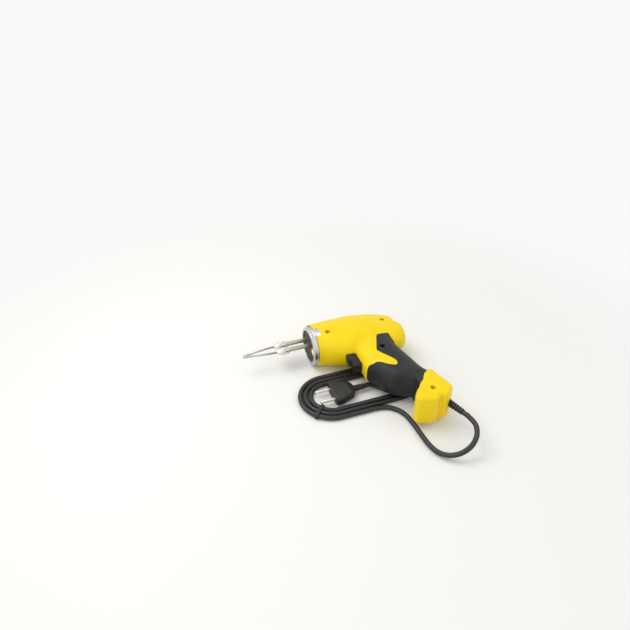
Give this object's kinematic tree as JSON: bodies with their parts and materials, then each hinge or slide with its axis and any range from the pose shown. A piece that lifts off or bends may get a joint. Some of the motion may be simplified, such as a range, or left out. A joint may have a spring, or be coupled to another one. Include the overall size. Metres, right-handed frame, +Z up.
{
  "type": "instant-heat soldering iron",
  "caption": "Pistol-shaped transformer soldering iron with a trigger, a copper wire tip held by collet nuts, a work lamp, and a mains cord wound in a hank.",
  "frame": {"origin": "centre of the iron's bounding box, without its cord, at the bench it lies on", "axes": "+X from the tip to the back of the housing, +Y from the handle to the spine, +Z up through the iron's left side"},
  "size_m": [0.2143, 0.2475, 0.0531],
  "materials": {
    "yellow_plastic": "moulded, slightly glossy",
    "black_plastic": "satin moulded",
    "bright_steel": "turned",
    "black_board": "matt",
    "lamp_glass": "clear lens over a warm bulb",
    "core_steel": "stacked sheet",
    "cream_plastic": "satin",
    "copper_wire": "enamelled",
    "tinned_bar": "tinned, dulled by heat",
    "plated_steel": "plated",
    "dark_plastic": "satin",
    "red_plastic": "satin",
    "brass_blade": "plain",
    "wire_insulation": "satin",
    "black_rubber": "satin",
    "cord_rubber": "satin"
  },
  "bodies": {
    "housing": {"left_housing": "yellow_plastic", "right_housing": "yellow_plastic", "left_grip": "black_plastic", "right_grip": "black_plastic", "nose_ring": "bright_steel", "nose_insulator": "black_board", "work_lamp": "lamp_glass", "lamp_socket": "black_plastic", "transformer_core": "core_steel", "coil_bobbin": "cream_plastic", "primary_coil": "copper_wire", "secondary_winding": "tinned_bar", "core_bracket": "plated_steel", "trigger_spring": "plated_steel", "switch_carrier": "dark_plastic", "switch_body": "dark_plastic", "switch_terminals": "brass_blade", "cord_clamp": "plated_steel", "housing_screws": "plated_steel", "inner_wiring": "wire_insulation", "cord_strain_relief": "black_rubber", "power_cord_lead": "cord_rubber", "power_cord_hank": "cord_rubber", "cord_tie": "cord_rubber", "plug_relief": "cord_rubber", "mains_plug": "cord_rubber", "plug_pins": "plated_steel"},
    "trigger": {"trigger": "black_plastic"},
    "plunger": {"switch_plunger": "red_plastic"},
    "upper_nut": {"upper_tip_nut": "plated_steel"},
    "lower_nut": {"lower_tip_nut": "plated_steel"},
    "tip": {"soldering_tip": "tinned_bar"}
  },
  "joints": [
    {"name": "trigger_pull", "type": "slide", "parent": "housing", "child": "trigger", "axis": [1, 0, 0], "range_m": [0, 0.0045], "stiffness_N_per_m": 900, "springref_m": -0.003, "deforming": ["trigger_spring"]},
    {"name": "plunger_push", "type": "slide", "parent": "housing", "child": "plunger", "axis": [1, 0, 0], "range_m": [0, 0.0045]},
    {"name": "upper_nut_turn", "type": "hinge", "parent": "housing", "child": "upper_nut", "pos_m": [-0.052, 0.08661, 0.0265], "axis": [-1, 0, 0], "continuous": true},
    {"name": "lower_nut_turn", "type": "hinge", "parent": "housing", "child": "lower_nut", "pos_m": [-0.052, 0.07421, 0.0265], "axis": [-1, 0, 0], "continuous": true},
    {"name": "tip_pull", "type": "slide", "parent": "housing", "child": "tip", "axis": [-1, 0, 0], "range_m": [0, 0.012]}
  ],
  "couplings": [
    {"joint": "plunger_push", "follows": "trigger_pull", "ratio": 1}
  ]
}
